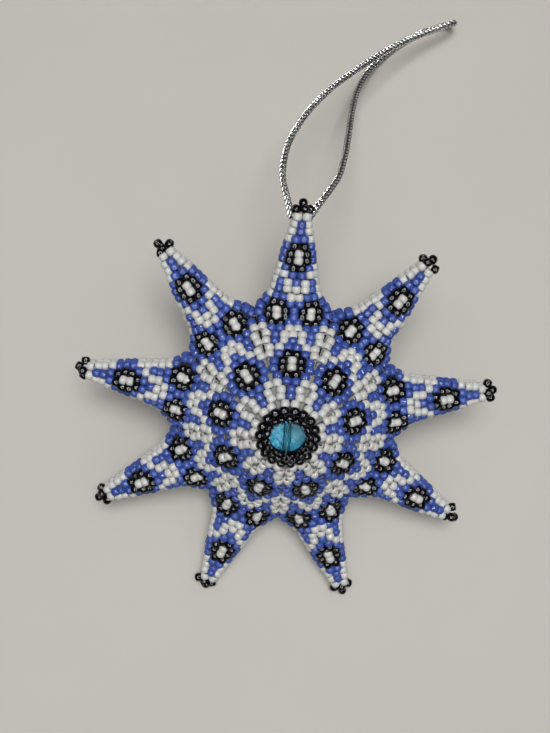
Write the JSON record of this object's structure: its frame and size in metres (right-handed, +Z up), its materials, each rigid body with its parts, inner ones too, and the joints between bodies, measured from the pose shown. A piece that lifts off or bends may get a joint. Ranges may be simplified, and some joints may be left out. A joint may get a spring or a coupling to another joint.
{
  "type": "beaded star ornament",
  "caption": "Hollow domed star sewn from glass seed beads, with tubular arms, a foil bead in a bead ring at each crown, and a swinging loop of silver cord.",
  "frame": {"origin": "on the surface that the star lies on, under the middle of the star's box", "axes": "+Z up; +Y from the centre towards the arm that carries the loop; +X to its right, seen from the front, which looks up and slightly towards -Y"},
  "size_m": [0.1018, 0.1539, 0.041],
  "materials": {
    "sewn_beads": "opaque glossy seed beads in blue, white and black",
    "black_beads": "opaque glossy seed beads",
    "foil_bead": "clear turquoise glass over crinkled silver foil",
    "silver_cord": "metallic braid",
    "thread": "grey beading thread"
  },
  "bodies": {
    "star": {"front_panel_1": "sewn_beads", "front_panel_2": "sewn_beads", "front_panel_3": "sewn_beads", "front_panel_4": "sewn_beads", "front_panel_5": "sewn_beads", "front_panel_6": "sewn_beads", "front_panel_7": "sewn_beads", "front_panel_8": "sewn_beads", "front_panel_9": "sewn_beads", "back_panel_1": "sewn_beads", "back_panel_2": "sewn_beads", "back_panel_3": "sewn_beads", "back_panel_4": "sewn_beads", "back_panel_5": "sewn_beads", "back_panel_6": "sewn_beads", "back_panel_7": "sewn_beads", "back_panel_8": "sewn_beads", "back_panel_9": "sewn_beads", "tip_beads_1": "black_beads", "tip_beads_2": "black_beads", "tip_beads_3": "black_beads", "tip_beads_4": "black_beads", "tip_beads_5": "black_beads", "tip_beads_6": "black_beads", "tip_beads_7": "black_beads", "tip_beads_8": "black_beads", "tip_beads_9": "black_beads", "front_bezel_ring": "black_beads", "back_bezel_ring": "black_beads", "front_rim_ring": "black_beads", "back_rim_ring": "black_beads", "front_centre_bead": "foil_bead", "back_centre_bead": "foil_bead", "front_centre_thread": "thread", "back_centre_thread": "thread", "loop_knot": "silver_cord"},
    "loop": {"hanging_loop": "silver_cord"}
  },
  "joints": [
    {"name": "loop_swing", "type": "hinge", "parent": "star", "child": "loop", "pos_m": [0, 0.04319, 0.03803], "axis": [1, 0, 0], "range_deg": [-60, 115]}
  ]
}
